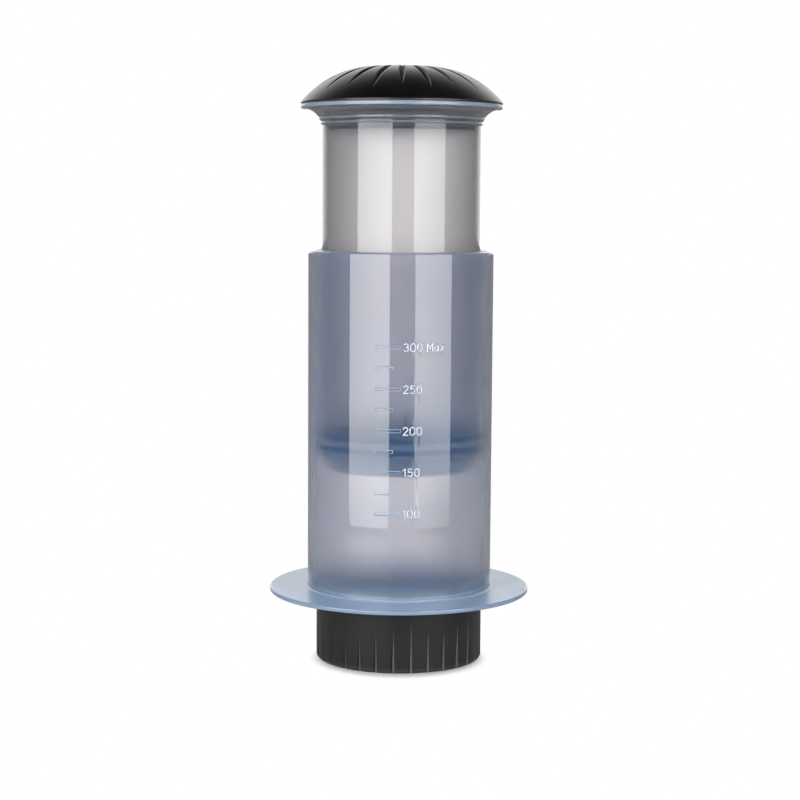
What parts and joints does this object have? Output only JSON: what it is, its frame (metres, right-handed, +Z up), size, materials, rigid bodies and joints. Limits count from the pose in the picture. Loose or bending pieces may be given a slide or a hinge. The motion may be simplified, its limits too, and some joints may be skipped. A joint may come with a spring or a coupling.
{
  "type": "manual coffee press",
  "caption": "Manual coffee press: hazy flanged barrel with a raised scale, grooved twist-on filter cap, and a hollow sliding plunger with a silicone seal and a fluted dome lid.",
  "frame": {"origin": "centre of the filter cap's lower edge, on the table", "axes": "+Z up along the press's axis towards the dome, -Y is the front with the scale, +X to the right seen from the front"},
  "size_m": [0.1, 0.1, 0.2269],
  "materials": {
    "chamber_plastic": "polished outside, hazy blue-grey and translucent",
    "cap_plastic": "satin black",
    "filter_paper": "unbleached filter paper",
    "plunger_plastic": "polished, hazy smoke-grey and translucent",
    "seal_silicone": "matte dark blue silicone",
    "dome_plastic": "fine satin black",
    "liner_plastic": "plain black",
    "gasket_silicone": "matte grey silicone"
  },
  "bodies": {
    "chamber": {"brew_chamber": "chamber_plastic"},
    "cap": {"filter_cap": "cap_plastic", "paper_filter": "filter_paper"},
    "seal": {"plunger_seal": "seal_silicone"},
    "plunger": {"plunger_tube": "plunger_plastic"},
    "lid": {"dome_lid": "dome_plastic", "lid_liner": "liner_plastic", "lid_gasket": "gasket_silicone"}
  },
  "joints": [
    {"name": "plunger_slide", "type": "slide", "parent": "chamber", "child": "seal", "axis": [0, 0, 1], "range_m": [-0.0454, 0.085]},
    {"name": "plunger_turn", "type": "hinge", "parent": "seal", "child": "plunger", "pos_m": [0, 0, 0.0893], "axis": [0, 0, 1], "continuous": true},
    {"name": "lid_lift", "type": "slide", "parent": "plunger", "child": "lid", "axis": [0, 0, 1], "range_m": [0, 0.03]},
    {"name": "cap_twist", "type": "hinge", "parent": "chamber", "child": "cap", "pos_m": [0, 0, 0.0194], "axis": [0, 0, 1], "range_deg": [-45, 0]}
  ]
}
